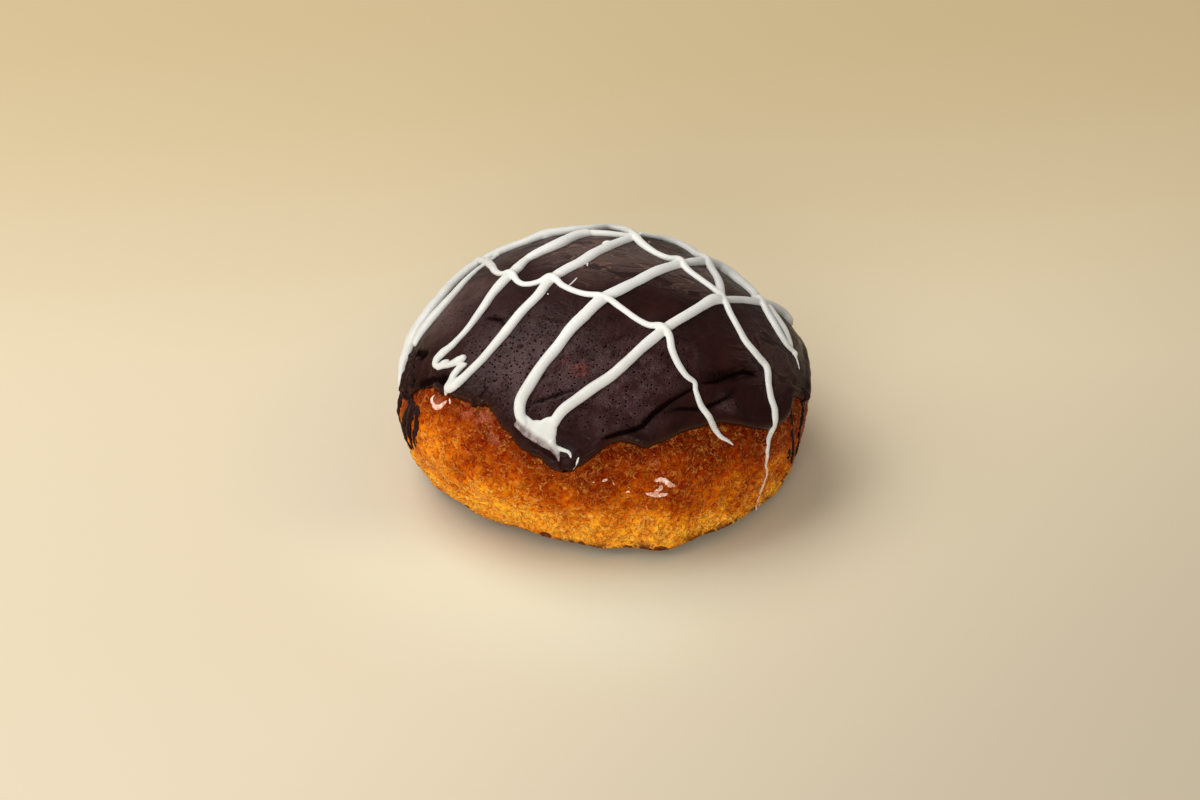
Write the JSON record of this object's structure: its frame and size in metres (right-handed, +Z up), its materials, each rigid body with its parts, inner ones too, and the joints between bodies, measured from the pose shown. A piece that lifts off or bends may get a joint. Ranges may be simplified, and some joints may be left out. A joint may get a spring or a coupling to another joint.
{
  "type": "filled doughnut",
  "caption": "Round filled doughnut with a flat foot, glossy dark chocolate icing over its crown and white icing drizzled across it.",
  "frame": {"origin": "middle of the flat foot that the doughnut rests on", "axes": "+Z up from the foot to the crown, -Y towards the side where the white drizzle pools and drips, +X to the right when seen from there"},
  "size_m": [0.0978, 0.0921, 0.0514],
  "materials": {
    "crust": "fried crust, golden brown, slightly greasy satin",
    "chocolate_icing": "set dark chocolate icing, satin gloss",
    "white_icing": "set white sugar icing, satin"
  },
  "bodies": {
    "root": {"dough": "crust", "icing": "chocolate_icing"}
  },
  "joints": []
}
